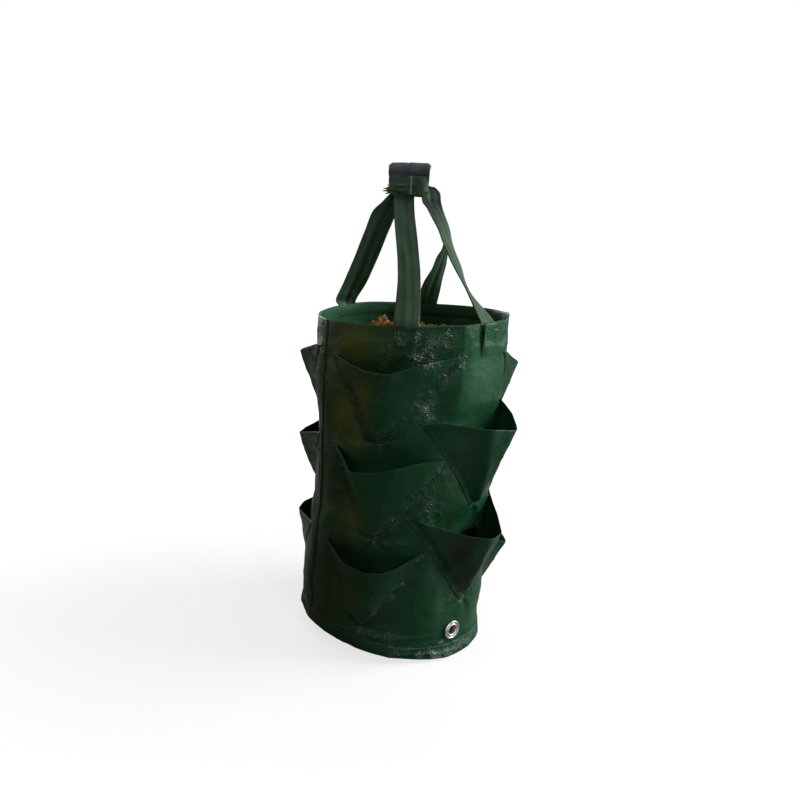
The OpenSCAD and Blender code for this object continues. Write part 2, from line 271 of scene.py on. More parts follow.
class Nodes:
    """Short hand for the nodes of a material or of the world."""

    def __init__(self, owner, shader="Principled BSDF"):
        self.owner = owner
        self.owner.use_nodes = True
        self.tree = owner.node_tree
        self.shader = self.tree.nodes[shader]

    def add(self, kind, **settings):
        node = self.tree.nodes.new(kind)
        for key, value in settings.items():
            setattr(node, key, value)
        return node

    def feed(self, socket, value):
        if isinstance(value, bpy.types.NodeSocket):
            self.tree.links.new(value, socket)
        else:
            socket.default_value = value

    def finish(self, colour, rough, gloss=0.5, normal=None):
        """Give the shader its colour, roughness, gloss and normal."""
        inputs = self.shader.inputs
        self.feed(inputs["Base Color"], colour)
        self.feed(inputs["Roughness"], rough)
        self.feed(inputs["Specular IOR Level"], gloss)
        if normal is not None:
            self.feed(inputs["Normal"], normal)
        return self.owner

    def place(self):
        return self.add("ShaderNodeTexCoord").outputs["Object"]

    def cloth(self):
        return self.add("ShaderNodeUVMap", uv_map="cloth").outputs[0]

    def painted(self, kind):
        return self.add("ShaderNodeAttribute", attribute_name=kind).outputs["Fac"]

    def math(self, operation, *values, clamp=False):
        node = self.add("ShaderNodeMath", operation=operation, use_clamp=clamp)
        for socket, value in zip(node.inputs, values):
            self.feed(socket, value)
        return node.outputs[0]

    def ramp(self, value, stops):
        node = self.add("ShaderNodeValToRGB")
        self.feed(node.inputs[0], value)
        marks = node.color_ramp.elements
        while len(marks) < len(stops):
            marks.new(0.5)
        for mark, (place, colour) in zip(marks, stops):
            mark.position = place
            mark.color = (*colour, 1)
        return node.outputs[0]

    def noise(self, at, scale, detail=3.0, rough=0.55):
        node = self.add("ShaderNodeTexNoise")
        self.feed(node.inputs["Vector"], at)
        self.feed(node.inputs["Scale"], scale)
        self.feed(node.inputs["Detail"], detail)
        self.feed(node.inputs["Roughness"], rough)
        return node.outputs[0]

    def mix(self, share, a, b, how="MIX"):
        node = self.add("ShaderNodeMix", data_type="RGBA", blend_type=how)
        self.feed(node.inputs["Factor"], share)
        self.feed(node.inputs[6], a)
        self.feed(node.inputs[7], b)
        return node.outputs[2]

    def span(self, value, low, high, start=0.0, end=1.0, how="LINEAR"):
        """The value's span from start to end, stretched to go from low to high."""
        node = self.add("ShaderNodeMapRange", interpolation_type=how)
        for key, amount in (("Value", value), ("From Min", start), ("From Max", end),
                ("To Min", low), ("To Max", high)):
            self.feed(node.inputs[key], amount)
        return node.outputs[0]

    def bump(self, height, strength, distance, under=None):
        node = self.add("ShaderNodeBump")
        self.feed(node.inputs["Strength"], strength)
        self.feed(node.inputs["Distance"], distance)
        self.feed(node.inputs["Height"], height)
        if under is not None:
            self.feed(node.inputs["Normal"], under)
        return node.outputs[0]

    def tapes(self, pitch):
        """Plain weave of flat tapes: height of the tape that lies on top at each crossing,
        a checker of two crowned profiles."""
        split = self.add("ShaderNodeSeparateXYZ")
        self.feed(split.inputs[0], self.cloth())
        waves = []
        crowns = []
        for axis in (0, 1):
            angle = self.math("MULTIPLY", split.outputs[axis], math.pi / pitch)
            waves.append(self.math("SINE", angle))
            crowns.append(self.math("POWER", self.math("ABSOLUTE", waves[-1]), 0.4))
        on_top = self.math("GREATER_THAN", self.math("MULTIPLY", *waves), 0.0)
        warp = self.math("MULTIPLY", on_top, crowns[0])
        weft = self.math("MULTIPLY", self.math("SUBTRACT", 1.0, on_top), crowns[1])
        return self.math("ADD", warp, weft)


def new_nodes(name):
    """Nodes of a new material."""
    return Nodes(bpy.data.materials.new(name))


def woven_sheet(name, dark, light, rough=0.27, gloss=0.055, crinkle=1.0):
    """Glossy laminated sheet woven from flat tapes: two greens in soft patches, with painted
    reflection, painted light and painted shade mixed in by the points' values, a faint weave,
    a slack film, and patches of fine steep grains that break the highlight into sparks."""
    n = new_nodes(name)
    place = n.place()
    weave = n.tapes(0.0021)
    green = n.ramp(n.noise(place, 16.0), [(0.3, dark), (0.7, light)])
    # Painted reflection: a warm olive green where the points' value says.
    warm_reflection = n.math("MULTIPLY", n.painted("warm_reflection"), 0.90)
    green = n.mix(warm_reflection, green, (0.064, 0.078, 0.018, 1))
    # Painted shade: a near-black green where the points' value says.
    green = n.mix(n.painted("painted_shade"), green, (0.014, 0.022, 0.010, 1))
    # Painted light: a brighter green where the points' value says.
    green = n.mix(n.painted("painted_light"), green, (0.030, 0.100, 0.052, 1))
    green = n.mix(1.0, green, n.math("MULTIPLY_ADD", weave, 0.10, 0.92), "MULTIPLY")
    patch = n.math("MULTIPLY_ADD", n.noise(place, 24.0, 2.0), 5.0, -2.7, clamp=True)
    clumps = n.math("MULTIPLY_ADD", n.noise(place, 130.0, 3.0, 0.6), 3.2, -1.05, clamp=True)
    crushed = n.math("MULTIPLY", n.painted("crushed"), clumps)
    where = n.math("MAXIMUM", n.math("MULTIPLY", patch, 0.30), crushed)
    gleam = n.math("ADD", n.math("MULTIPLY_ADD", where, 0.26, gloss), n.math("POWER", where, 3.0))
    slack = n.bump(n.noise(place, 30.0, 2.0, 0.4), 0.60 * crinkle, 0.005)
    film = n.bump(n.noise(place, 150.0, 4.0, 0.6), 0.32 * crinkle, 0.0012, slack)
    grains = n.math("MULTIPLY", n.noise(place, 640.0, 1.5), n.math("ADD", where, 0.10))
    sparks = n.bump(grains, 1.0, 0.0026, film)
    taut = n.math("MULTIPLY_ADD", where, -0.14, rough)
    return n.finish(green, taut, gleam, n.bump(weave, 0.40, 0.0002, sparks))


def strap_weave():
    """Folded strap: tapes running along it, with narrow ribs, duller film, painted shade near the band and
    painted light on the left leg.
    """
    n = new_nodes("strap_weave")
    place = n.place()
    greens = [(0.3, (0.014, 0.045, 0.022)), (0.50, (0.020, 0.057, 0.028)), (0.66, (0.028, 0.048, 0.019))]
    green = n.ramp(n.noise(place, 34.0), greens)
    # Painted shade: darker green near the band.
    green = n.mix(n.painted("painted_shade"), green, (0.010, 0.020, 0.018, 1))
    # Painted light: paler green on the left leg.
    green = n.mix(n.painted("painted_light"), green, (0.065, 0.150, 0.095, 1))
    film = n.bump(n.noise(place, 160.0, 4.0), 0.5, 0.0010)
    return n.finish(green, 0.40, 0.10, n.bump(n.tapes(0.0017), 0.6, 0.0004, film))


def shaded_fold():
    """Strap at the top of the gathered loop in painted shade, a dark copy of the strap, with a painted
    blue-grey sheen on the film.
    """
    n = new_nodes("shaded_fold")
    place = n.place()
    tint = n.ramp(n.noise(place, 70.0), [(0.35, (0.030, 0.052, 0.052)), (0.70, (0.108, 0.104, 0.132))])
    return n.finish(tint, 0.5, 0.12, n.bump(n.noise(place, 240.0, 4.0), 0.5, 0.0008))


def thread(name, dark, light):
    """Twisted polyester sewing thread."""
    n = new_nodes(name)
    twist = n.noise(n.place(), 900.0, 2.0)
    return n.finish(n.ramp(twist, [(0.3, dark), (0.8, light)]), 0.6, 0.12, n.bump(twist, 0.4, 0.0003))


def eyelet_metal():
    """Rolled bright metal with fine scratches and a dull patina in places."""
    n = new_nodes("eyelet_metal")
    place = n.place()
    patina = n.noise(place, 260.0, 5.0)
    greys = n.ramp(patina, [(0.3, (0.45, 0.44, 0.46)), (0.65, (0.80, 0.79, 0.80))])
    scratches = n.bump(n.noise(place, 700.0, 2.0), 0.25, 0.0002)
    n.feed(n.shader.inputs["Metallic"], 1.0)
    return n.finish(greys, n.math("MULTIPLY_ADD", patina, 0.3, 0.18), normal=scratches)


def coir():
    """Coir and bark: orange-brown fibre with darker crumbs, in painted shade that makes it almost
    black in the bag but for what shows at its top and through the eyelets."""
    n = new_nodes("coir")
    place = n.place()
    crumbs = n.noise(place, 190.0, 6.0, 0.7)
    browns = [(0.32, (0.030, 0.015, 0.007)), (0.5, (0.20, 0.085, 0.028)), (0.66, (0.46, 0.33, 0.12))]
    brown = n.ramp(crumbs, browns)
    split = n.add("ShaderNodeSeparateXYZ")
    n.feed(split.inputs[0], place)
    height = n.math("MULTIPLY", split.outputs["Z"], 2.5)
    # Painted shade: the fill's side is darkened by height, left bright near the eyelets and at the top.
    unshaded = (1, 1, 1)
    inside_shade = (0.02, 0.02, 0.02)
    shade_by_height = n.ramp(height, [(0.075, unshaded), (0.125, inside_shade), (0.72, inside_shade), (0.80, unshaded)])
    return n.finish(n.mix(1.0, brown, shade_by_height, "MULTIPLY"), 0.9, 0.15, n.bump(crumbs, 0.9, 0.003))


def pale_floor():
    """Matt white floor. The camera also sees an even white glow on it, faint near the bag,
    where the shadow lies, and full further out."""
    n = new_nodes("pale_floor")
    far = n.add("ShaderNodeVectorMath", operation="LENGTH")
    n.feed(far.inputs[0], n.place())
    glow = n.span(far.outputs["Value"], 0.74, 1.0, 0.15, 0.9, "SMOOTHSTEP")
    seen = n.add("ShaderNodeLightPath").outputs["Is Camera Ray"]
    n.feed(n.shader.inputs["Emission Strength"], n.math("MULTIPLY", glow, seen))
    n.feed(n.shader.inputs["Emission Color"], (1, 1, 1, 1))
    return n.finish((0.26, 0.26, 0.26, 1), 0.9, 0.1)


LEAF = woven_sheet("leaf_sheet", (0.0090, 0.047, 0.0205), (0.0125, 0.064, 0.0280))
LEAF_SEAM = woven_sheet("seam_sheet", (0.0080, 0.040, 0.0180), (0.0110, 0.055, 0.0240), 0.32, 0.06, 0.8)
STRAP = strap_weave()
# Dark copy of the strap: painted shade on the loop's top and the band's frayed end.
SHADED_FOLD = shaded_fold()
# Paler copy of the thread: painted light on the right-hand rows of the pockets.
LIT_THREAD = thread("lit_thread", (0.010, 0.036, 0.020), (0.030, 0.075, 0.046))
# Pale green for a painted highlight along the band's turned-under edge.
EDGE_HIGHLIGHT = thread("edge_highlight", (0.07, 0.13, 0.08), (0.16, 0.25, 0.18))
DARK_THREAD = thread("dark_thread", (0.006, 0.028, 0.014), (0.014, 0.05, 0.026))
METAL = eyelet_metal()
COIR = coir()


# Wear, painted light and painted shade on the sheets

# Spots: direction, height, half width in degrees, half height in metres and strength.
# Crushed film changes only the gloss, roughness and grain. The other three are painted
# into the colour: a painted warm olive reflection, painted light and painted shade.
WEAR = {
    "crushed": [
        (24, 0.320, 9, 0.011, 1.4), (18.5, 0.336, 3.5, 0.015, 1.1), (34.5, 0.343, 6, 0.008, 1.0),
        (26, 0.270, 7, 0.018, 0.85), (2, 0.3, 4, 0.03, 0.5), (3, 0.328, 6, 0.016, 0.5),
        (29, 0.334, 10, 0.016, 0.8), (74, 0.325, 17, 0.022, 0.15), (52, 0.075, 9, 0.030, 0.5),
        (63.5, 0.063, 3.5, 0.006, 1.3), (40, 0.006, 45, 0.014, 1.0), (48.5, 0.0205, 4, 0.0030, 1.6),
        (34, 0.168, 8, 0.03, 0.7), (12, 0.030, 14, 0.016, 0.7), (46, 0.205, 7, 0.02, 0.5),
        (8.5, 0.335, 4.5, 0.009, 1.0), (14, 0.318, 4, 0.008, 0.7)],
    # Painted reflection: warm olive patches on the front and left facets.
    "warm_reflection": [
        (-7.5, 0.279, 4.2, 0.028, 1.0), (-24, 0.258, 9, 0.022, 1.0), (-12, 0.235, 6, 0.014, 0.9),
        (-12, 0.150, 9, 0.018, 0.9), (-17, 0.330, 17, 0.022, 0.95), (-14, 0.070, 8, 0.025, 0.6),
        (-30, 0.29, 14, 0.03, 0.4)],
    # Painted light: lighter patches on facets that face the light.
    "painted_light": [
        (43, 0.237, 9, 0.018, 0.8), (24, 0.270, 9, 0.014, 0.6), (59, 0.290, 14, 0.045, 0.7),
        (47, 0.213, 7, 0.02, 0.6), (28, 0.328, 14, 0.018, 0.2), (-8, 0.330, 12, 0.016, 0.2),
        (262, 0.335, 34, 0.024, 1.0), (120, 0.335, 26, 0.02, 0.4), (30, 0.150, 10, 0.02, 0.3),
        (38, 0.105, 4.5, 0.028, 0.6), (45, 0.066, 5, 0.022, 0.8), (84, 0.115, 7, 0.04, 0.1),
        (70, 0.318, 18, 0.03, 0.4)],
    # Painted shade: darker patches on facets turned from the light, along the lips and low on the left.
    "painted_shade": [
        (-34, 0.070, 26, 0.080, 0.9), (-50, 0.180, 16, 0.14, 0.75), (-25, 0.175, 16, 0.035, 0.6),
        (50, 0.130, 8, 0.028, 0.95), (58, 0.095, 6, 0.022, 0.95), (-17.5, 0.284, 2.2, 0.010, 0.9),
        (-13.5, 0.270, 2.2, 0.010, 0.9), (-9.5, 0.256, 2.2, 0.010, 0.9), (-5.5, 0.243, 2.2, 0.010, 0.9),
        (-14, 0.085, 12, 0.035, 0.85), (-2, 0.095, 10, 0.022, 0.7), (160, 0.335, 38, 0.030, 0.45),
        (-16, 0.117, 9, 0.010, 1.0), (92, 0.130, 8, 0.03, 0.6), (50, 0.222, 7, 0.022, 0.5),
        (0, 0.045, 24, 0.02, 0.3), (-3, 0.300, 14, 0.010, 0.4)],
}


def seam_wear(az, z):
    """Wear along the pockets' seams on the unrolled wall: a bell over the distance to the
    straight line from each corner to the point."""
    worst = np.zeros(len(z))
    for p in POCKETS.values():
        for (turn, height), most in zip(p["corners"], (0.35, 0.75)):
            seam = np.array([math.radians(turn) * BAG_R, height - p["point"]])
            dx = np.radians(turn_from(az, p["az"])) * BAG_R
            dz = z - p["point"]
            share = np.clip((dx * seam[0] + dz * seam[1]) / (seam @ seam), 0, 1)
            far = np.hypot(dx - share * seam[0], dz - share * seam[1])
            worst = np.maximum(worst, most * bump_at(far, 0, 0.007))
    return worst


def wear(obj):
    """Paints a sheet's points with crushed film, painted reflection, painted light and painted
    shade, from their direction round the bag and their height: each value is the strongest of
    its bell-shaped spots. Seams are crushed, and the straps get painted shade near the band and
    painted light on the left."""
    mesh = obj.data
    points = np.empty(len(mesh.vertices) * 3)
    mesh.vertices.foreach_get("co", points)
    points = points.reshape(-1, 3)
    az = direction_of(points)
    z = points[:, 2]
    below_band = ease((z - 0.430) / 0.03) * (1 - ease((z - 0.466) / 0.004))
    above_rim = ease((z - 0.352) / 0.01)
    # Seams are crushed; the straps get painted shade just below the band and painted light on the left leg.
    wider = {
        "crushed": seam_wear(az, z),
        "painted_light": 0.9 * bell(az, 245, 50) * above_rim,
        "painted_shade": 0.8 * below_band}
    for kind, spots in WEAR.items():
        spread = [power * bell(az, spot_az, wide) * bump_at(z, spot_z, high)
            for spot_az, spot_z, wide, high, power in spots]
        if kind in wider:
            spread.append(wider[kind])
        layer = mesh.attributes.new(kind, "FLOAT", "POINT")
        layer.data.foreach_set("value", np.minimum(np.max(spread, axis=0), 1).astype(np.float32))


def finish_piece(obj, material, body="bag", nodes=()):
    """Give a piece its material, body and the nodes that it stands for."""
    obj.data.materials.append(material)
    if material in (LEAF, LEAF_SEAM, STRAP):
        wear(obj)
    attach(obj, body)
    if nodes:
        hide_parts(*nodes)
    return obj


# The bag's wall

# Each pocket: direction and height of its point, its left and right corners as turn from
# the point and height, how far the wall leans in behind its mouth in millimetres, and marks
# along its lip as turn, reach in millimetres and height.
POCKETS = {
    "front_top": dict(az=0.5, point=0.234, corners=((-33, 0.317), (43, 0.3205)), lean=3,
        lip=((-16, 8, 0.3105), (-5, 14, 0.307), (6, 15, 0.306), (18, 9, 0.314))),
    "front_middle": dict(az=1.7, point=0.134, corners=((-31, 0.2275), (39.5, 0.219)), lean=4,
        lip=((-12, 14, 0.2055), (-1, 19, 0.209), (10, 17, 0.215), (20, 10, 0.219))),
    "front_bottom": dict(az=-2.4, point=0.036, corners=((-29, 0.123), (36.5, 0.1245)), lean=3.5,
        lip=((-9, 13, 0.109), (4, 20, 0.1075), (12, 18, 0.108), (19, 14, 0.1135))),
    "right_upper": dict(az=68, point=0.166, corners=((-41, 0.2565), (31, 0.2645)), lean=11,
        lip=((-33, 7, 0.2585), (-23.5, 17, 0.2565), (-13, 31, 0.2545), (1, 35.5, 0.250), (16, 16, 0.257))),
    "right_lower": dict(az=64.5, point=0.065, corners=((-42.5, 0.160), (31, 0.166)), lean=11,
        lip=((-35, 8, 0.1575), (-26, 17, 0.155), (-15, 26, 0.1475), (-4, 33, 0.1425), (4, 32, 0.1435),
            (13, 17, 0.149))),
    "rear_right_top": dict(az=121, point=0.231, corners=((-38, 0.319), (37, 0.317)), lean=10,
        lip=((-14, 15, 0.300), (0, 18, 0.2962), (13, 15, 0.298))),
    "rear_right_middle": dict(az=122, point=0.138, corners=((-35, 0.219), (37, 0.220)), lean=10,
        lip=((-14, 11, 0.203), (0, 14, 0.200), (13, 12, 0.203))),
    "rear_right_bottom": dict(az=122, point=0.026, corners=((-35, 0.121), (37, 0.122)), lean=10,
        lip=((-14, 23.5, 0.0977), (0, 29, 0.0949), (13, 23.5, 0.0977))),
    "back_upper": dict(az=192, point=0.169, corners=((-37, 0.257), (37, 0.256)), lean=10,
        lip=((-13, 22, 0.247), (2, 29, 0.243), (14, 23, 0.246))),
    "back_lower": dict(az=191, point=0.070, corners=((-38, 0.158), (37, 0.159)), lean=10,
        lip=((-15, 22, 0.146), (-2, 28, 0.142), (12, 21, 0.145))),
    "left_top": dict(az=268, point=0.238, corners=((-38, 0.3205), (36, 0.3205)), lean=8,
        lip=((-14, 17.5, 0.3056), (0, 23.4, 0.3018), (13, 18.5, 0.3046))),
    "left_middle": dict(az=268, point=0.151, corners=((-38, 0.224), (36, 0.224)), lean=8,
        lip=((-14, 15, 0.2114), (0, 18.5, 0.2089), (13, 16, 0.2104))),
    "left_bottom": dict(az=267, point=0.036, corners=((-38, 0.123), (36, 0.122)), lean=8,
        lip=((-14, 11.5, 0.1198), (0, 14.6, 0.1184), (13, 12.5, 0.1189))),
}


def base_lift(az):
    """Height of the bag's lower outer edge: the filled corner is rounder on one side."""
    rounder = ((1 - np.sin(np.radians(az - VIEW_AZ))) / 2) ** 1.5
    return CORNER_LIFT * rounder - 0.0030 * ridge(az, VIEW_AZ - 84, 20)


def mouth_middle(p):
    """Height of the middle of a pocket's lip."""
    return min(mark[2] for mark in p["lip"])


def mouth_lean(az, z):
    """How far the wall leans in behind each pocket's mouth: a bell across the pocket,
    growing from above the corners to the lip and going again below the slit."""
    lean = 0 * az
    for p in POCKETS.values():
        low = mouth_middle(p)
        above = ease((low + 0.026 - z) / 0.030)
        below = ease((z - (low - 0.055)) / 0.040)
        lean = lean + p["lean"] * MM * bell(az, p["az"], 22) * above * below
    return lean


def point_pull(az, z):
    """Stress folds at each pocket's point: rays that fan out below and beside it, a wave
    of the angle round the point, fading with distance."""
    pull = 0 * az
    for k, p in enumerate(POCKETS.values()):
        x = np.radians(turn_from(az, p["az"])) * BAG_R
        y = z - p["point"]
        far = np.hypot(x, y)
        rays = np.cos(5 * np.arctan2(y, x) + k) + 0.6 * np.cos(9 * np.arctan2(y, x) + 2 * k)
        pull = pull + 1.1 * MM * rays * np.exp(-far / 0.022) * ease(far / 0.010)
        pull = pull - 2.0 * MM * bump_at(far, 0, 0.012)
    return pull


def eyelet_distance(az, z, spot_az):
    """Distance on the unrolled wall from an eyelet's middle."""
    return np.hypot(np.radians(turn_from(az, spot_az)) * BAG_R, z - EYELET_Z)


def wall_offset(az, z):
    """Radial offset of the wall from a plain tube: ridges near the rim, bells where the
    foot spreads and the left side sags, noise and creases, less the lean behind the
    mouths. It is held flat round the eyelets."""
    u = az / 360
    v = z / BAG_H
    near_top = ease((z - 0.235) / 0.06)
    ridges = 3.6 * MM * ridge(az, SIDE_RIDGE_AZ, 13) * near_top
    ridges = ridges + 2.4 * MM * ridge(az, 82, 12) * near_top
    ridges = ridges + 1.3 * MM * ridge(az, RIM_TIP_AZ, 14) * ease((z - 0.30) / 0.05)
    foot = 2.2 * MM + 5.4 * MM * bell(az, VIEW_AZ + 46, 28)
    foot = foot * ease((0.014 - z) / 0.012) * (1 - bell(az, VIEW_AZ + 98, 27))
    heel = 0.8 * MM * bell(az, VIEW_AZ - 88, 34) * bump_at(z, 0.085, 0.035)
    tuck = 2.6 * MM * bell(az, VIEW_AZ + 92, 22) * ease((0.075 - z) / 0.05)
    waist = 6.2 * MM * bell(az, VIEW_AZ - 85, 38) * bump_at(z, 0.195, 0.070)
    sags = 2.6 * bump_at(z, 0.245, 0.022) + 1.5 * bump_at(z, 0.150, 0.012) + 0.9 * bump_at(z, 0.040, 0.016)
    sags = MM * bell(az, VIEW_AZ - 85, 30) * sags
    slack = 1.8 * MM * cloud(u, v, 7, 5, 3) + 1.1 * MM * cloud(u, v, 16, 11, 4)
    crumple = 1.0 * MM * creases(u, v, 13, 9, 5) + 0.5 * MM * creases(u, v, 31, 22, 6)
    low_folds = 2.0 * MM * (creases(u, v, 9, 30, 7) - 0.3) * ease((0.055 - z) / 0.03)
    quiet = 1 - ease((z - 0.325) / 0.02) * 0.7
    offset = ridges + foot + heel - tuck - waist - sags - 0.7 * MM
    offset = offset + (slack + crumple + low_folds) * quiet
    offset = offset - mouth_lean(az, z) + point_pull(az, z)
    for spot_az in EYELET_AZ:
        hold = 1 - ease((eyelet_distance(az, z, spot_az) - EYELET_FLAT_R) / 0.014)
        offset = offset * (1 - hold) - 0.25 * MM * hold
    return offset


def rim_rise(az, z):
    """How much higher the bag stands on the far and right sides, growing up to the rim."""
    side = RIM_TILT * np.sin(np.radians(az - VIEW_AZ))
    side = side + 0.0033 * bell(az, VIEW_AZ + 216, 32) + 0.0015 * bell(az, RIM_TIP_AZ, 10)
    return side * np.clip(z / BAG_H, 0, 1) ** 2


def wall_point(az, z, out=0.0):
    """Point on the wall at a direction and height, standing out by a distance."""
    r = BAG_R + wall_offset(az, z) + out
    drop = np.clip((base_lift(az) + EDGE_ROUND - z) / EDGE_ROUND, 0, 1)
    return around(az, r - 0.0022 * drop ** 2, z + rim_rise(az, z))


def bag_wall():
    """Outer skin: rounded in under the base by a quarter of a wave, up to the rim, turned
    over it and down inside, with a slit behind each pocket and a hole at each eyelet."""
    cols, rows = 440, 190
    az_under, b = round_grid(cols, np.linspace(0, 1, 16)[:-1])
    az_out, s = round_grid(cols, np.linspace(0, 1, rows))
    az_in, t = round_grid(cols, np.linspace(0, 1, 22)[1:])
    low_under = base_lift(az_under) + EDGE_UP
    edge = wall_point(az_under, low_under)
    edge_r = np.hypot(edge[..., 0], edge[..., 1])
    quarter = b * math.pi / 2
    under_r = UNDER_R + (edge_r - UNDER_R) * np.sin(quarter)
    under = around(az_under, under_r, low_under * (1 - np.cos(quarter)) ** 0.9)
    low = base_lift(az_out) + EDGE_UP
    z = low + (BAG_H - low) * s
    inner = wall_point(az_in, BAG_H - TURNED_IN * t, -0.0008 * ease(t * 12))
    points = np.concatenate([under, wall_point(az_out, z), inner])
    length = np.concatenate([(b - 1) * 0.04, z, BAG_H + TURNED_IN * t])
    turned = np.concatenate([az_under, az_out, az_in])
    uv = np.stack([turned / 360 * GIRTH, length], axis=-1)
    keep = np.ones((len(points) - 1, cols), dtype=bool)
    outer_keep = keep[len(under):len(under) + rows - 1]
    mid_az = az_out[:-1] + 180 / cols
    mid_z = (z[:-1] + z[1:]) / 2
    for p in POCKETS.values():
        slit_z = mouth_middle(p) - SLIT_DROP
        across = np.abs(turn_from(mid_az, p["az"])) < SLIT_HALF_AZ
        outer_keep &= ~(across & (np.abs(mid_z - slit_z) < SLIT_HALF_H))
    for spot_az in EYELET_AZ:
        outer_keep &= eyelet_distance(mid_az, mid_z, spot_az) > EYELET_HOLE_R
    obj = grid_mesh("bag_wall_skin", points, uv, wrap=True, keep=keep)
    finish_piece(obj, LEAF, nodes=["bag_wall"])


def base_sheet():
    """Round base, flat where it stands and quilted a little by the fill."""
    az, s = round_grid(96, np.linspace(0.03, 1, 24))
    z = 0.0006 + 0.0004 * (1 - np.cos(s * 9)) * (1 - s)
    points = around(az, BASE_R * s, z)
    uv = points[..., :2] + BAG_R
    obj = grid_mesh("base_sheet", points[::-1], uv[::-1], wrap=True, thick=SHEET_T, offset=1.0)
    finish_piece(obj, LEAF_SEAM, nodes=["base_panel"])


# Bands and strips that lie on the wall

def strip_on_wall(name, az, z, out, node, material=LEAF, thick=SHEET_T, wrap=False):
    """A strip of sheet over grids of direction, height and distance from the wall."""
    uv = np.stack([az / 360 * GIRTH, z], axis=-1)
    obj = grid_mesh(name, wall_point(az, z, out), uv, wrap=wrap, thick=thick)
    return finish_piece(obj, material, nodes=[node])


def rim_hem():
    """Hem turned in at the rim: a band inside, puckered by a sine at its stitches."""
    az, t = round_grid(360, np.linspace(0, 1, 10))
    pucker = 0.10 * MM * np.sin(np.radians(az) * 95) * ease(t * 2)
    out = -0.0010 - 0.0003 * ease(3 * t) + 0.0011 * ease(t * 4 - 3) + pucker
    z = BAG_H - 0.0006 - HEM_H * t
    obj = strip_on_wall("rim_hem_fold", az, z, out, "rim_hem", material=LEAF_SEAM, wrap=True)


def side_seam():
    """Overlap strip down the closed side, with a soft buckle every few centimetres."""
    t, s = np.meshgrid(np.linspace(-1, 1, 9), np.linspace(0, 1, 150))
    z = SEAM_FOOT_Z + (BAG_H - 0.0005 - SEAM_FOOT_Z) * s
    crown = 1 - t * t
    out = 0.0003 + (0.12 * MM * np.sin(s * 61 + t) + 0.15 * MM) * crown
    az = SEAM_AZ + math.degrees(SEAM_W / 2 / BAG_R) * t
    obj = strip_on_wall("side_seam_strip", az, z, out, "side_seam")


def bottom_binding():
    """Binding over the bottom seam, following the rounded lower edge: half a wave across,
    flatter on the left, and puckered by a sine."""
    az, t = round_grid(360, np.linspace(0, 1, 9))
    z = base_lift(az) + 0.005 + 0.009 * t
    right_part = ease((turn_from(az, VIEW_AZ + 20) + 45) / 50)
    roll = (0.05 + 0.30 * right_part) * MM * np.sin(t * math.pi) ** 0.6
    pucker = 0.08 * MM * np.sin(np.radians(az) * 70) - 0.5 * MM * ease(t * 6 - 5)
    obj = strip_on_wall("bottom_seam_binding", az, z, 0.0003 + roll + pucker, "bottom_binding", wrap=True)


# Pockets

def pocket_lines(p, v):
    """The lines of a pocket at depth v: both seams and the folds that start at its lip,
    all drawn in to the point at the bottom, as the sides of a cone. Each is a point."""
    left, right = p["corners"]
    marks = [(left[0], 0, left[1]), *p["lip"], (right[0], 0, right[1])]
    lines = []
    for turn, reach, height in marks:
        is_seam = reach == 0
        narrow = (1 - v) * (1 - 0.06 * np.sin(math.pi * v)) if is_seam else 1 - v
        base = math.copysign(POINT_HALF_AZ, turn) if is_seam else 0.0
        az = p["az"] + base + (turn - base) * narrow
        spot = wall_point(az, height + (p["point"] - height) * v, 0.0007)
        r = np.hypot(spot[..., 0], spot[..., 1])
        cone = BAG_R + 0.0012 + reach * MM * (1 - v)
        lift = 0 * v if is_seam else np.maximum(cone, r) - r
        scale = (r + lift * ease((1 - v) * 12)) / r
        lines.append(spot * np.stack([scale, scale, np.ones_like(scale)], axis=-1))
    return np.stack(lines, axis=-2)


def pocket_grid(p, lines, v, seed):
    """Surface of a pocket: straight between neighbouring lines, then smoothed across so
    that its creases are soft, with a belly where the fill presses and small crumples."""
    gaps = np.linalg.norm(np.diff(lines, axis=1), axis=-1).mean(axis=0)
    marks = np.concatenate([[0], np.cumsum(gaps)]) / gaps.sum()
    s = np.linspace(0, 1, 81)
    part = np.clip(np.searchsorted(marks, s, side="right") - 1, 0, len(marks) - 2)
    share = ((s - marks[part]) / (marks[part + 1] - marks[part]))[None, :, None]
    points = lines[:, part] * (1 - share) + lines[:, part + 1] * share
    for _ in range(3):
        soft = points.copy()
        soft[:, 1:-1] = (points[:, :-2] + points[:, 1:-1] * 2 + points[:, 2:]) / 4
        points = soft
    vv, ss = np.meshgrid(v, s, indexing="ij")
    inner = np.sin(math.pi * ss) ** 0.7
    belly = 0.8 * MM * np.sin(math.pi * vv)
    crumple = 0.8 * MM * cloud(ss * 0.9, vv, 5, 4, seed)
    crumple = crumple + 0.8 * MM * (creases(ss * 0.9, vv, 6, 4, seed + 1) - 0.4)
    wave = 0.5 * MM * np.sin(ss * 19 + seed) * (1 - vv) ** 4
    return points + outward_at(points) * ((belly + crumple + wave) * inner)[..., None]


def sewn_margin(p, edge, v, side):
    """Margin of a pocket, flat on the wall outside one seam: -1 for the left, 1 for the
    right. Its columns run from left to right."""
    corner = p["corners"][0 if side < 0 else 1][1]
    steps = np.linspace(1, 0, 4)[:-1] if side < 0 else np.linspace(0, 1, 4)[1:]
    az = direction_of(edge)[:, None] + side * math.degrees(MARGIN / BAG_R) * steps[None, :]
    z = (corner + (p["point"] - corner) * v)[:, None] + 0 * az
    return wall_point(az, z, 0.0006)


